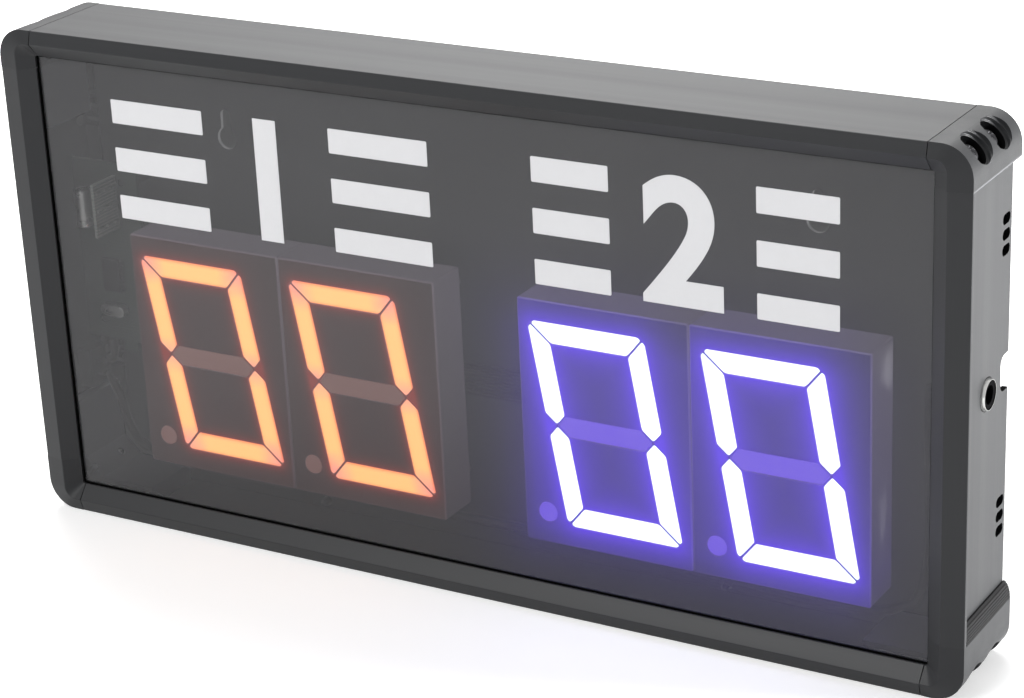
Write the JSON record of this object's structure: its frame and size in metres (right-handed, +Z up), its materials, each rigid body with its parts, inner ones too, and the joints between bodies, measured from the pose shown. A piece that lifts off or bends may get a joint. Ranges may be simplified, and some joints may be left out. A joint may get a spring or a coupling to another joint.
{
  "type": "electronic scoreboard",
  "caption": "Low rectangular tabletop scoreboard: dark extruded frame with moulded corners, smoked front panel and lit seven-segment digits.",
  "frame": {"origin": "middle of the underside, where the case stands", "axes": "+X to the right along the case as seen from the front, +Y from the front panel towards the back cover, +Z up"},
  "size_m": [0.38, 0.0428, 0.192],
  "materials": {
    "frame": "black anodised aluminium extrusion, satin",
    "corner": "charcoal moulded plastic, fine texture",
    "panel": "smoked translucent acrylic sheet",
    "housing": "black digit housing",
    "diffuser_warm": "translucent diffuser, lit orange",
    "diffuser_cool": "translucent diffuser, lit blue-white",
    "board": "coated circuit board",
    "chip": "black moulded chip case",
    "metal": "bright plated metal",
    "screw": "blackened steel",
    "socket": "black moulded plastic",
    "lead": "black cable jacket",
    "ribbon": "grey ribbon cable",
    "gasket": "black foam gasket",
    "cover": "black powder coated sheet"
  },
  "bodies": {
    "case": {"top_rail": "frame", "bottom_rail": "frame", "left_rail": "frame", "right_rail": "frame", "corner_top_left": "corner", "corner_bracket_top_left": "metal", "corner_screw_top_left_front": "screw", "corner_screw_top_left_back": "screw", "corner_top_right": "corner", "corner_bracket_top_right": "metal", "corner_screw_top_right_front": "screw", "corner_screw_top_right_back": "screw", "corner_bottom_left": "corner", "corner_bracket_bottom_left": "metal", "corner_screw_bottom_left_front": "screw", "corner_screw_bottom_left_back": "screw", "corner_bottom_right": "corner", "corner_bracket_bottom_right": "metal", "corner_screw_bottom_right_front": "screw", "corner_screw_bottom_right_back": "screw", "front_panel": "panel", "panel_gasket": "gasket", "digit_housing_left_tens": "housing", "digit_diffuser_left_tens": "diffuser_warm", "digit_led_board_left_tens": "board", "digit_housing_left_units": "housing", "digit_diffuser_left_units": "diffuser_warm", "digit_led_board_left_units": "board", "display_board_left": "board", "digit_housing_right_tens": "housing", "digit_diffuser_right_tens": "diffuser_cool", "digit_led_board_right_tens": "board", "digit_housing_right_units": "housing", "digit_diffuser_right_units": "diffuser_cool", "digit_led_board_right_units": "board", "display_board_right": "board", "controller_board": "board", "microcontroller": "chip", "clock_crystal": "metal", "smoothing_capacitor": "metal", "remote_receiver": "board", "power_socket": "socket", "power_socket_ring": "metal", "power_switch_body": "socket", "back_cover": "cover", "cover_screw_1": "screw", "cover_screw_2": "screw", "cover_screw_3": "screw", "cover_screw_4": "screw", "cover_screw_5": "screw", "cover_screw_6": "screw", "power_lead": "lead", "switch_lead": "lead", "ribbon_cable_controller": "ribbon", "ribbon_cable_displays": "ribbon"},
    "rocker": {"power_rocker": "socket"}
  },
  "joints": [
    {"name": "rocker_tilt", "type": "hinge", "parent": "case", "child": "rocker", "pos_m": [-0.18608, 0.00395, 0.051], "axis": [0, 1, 0], "range_deg": [-16, 0]}
  ]
}
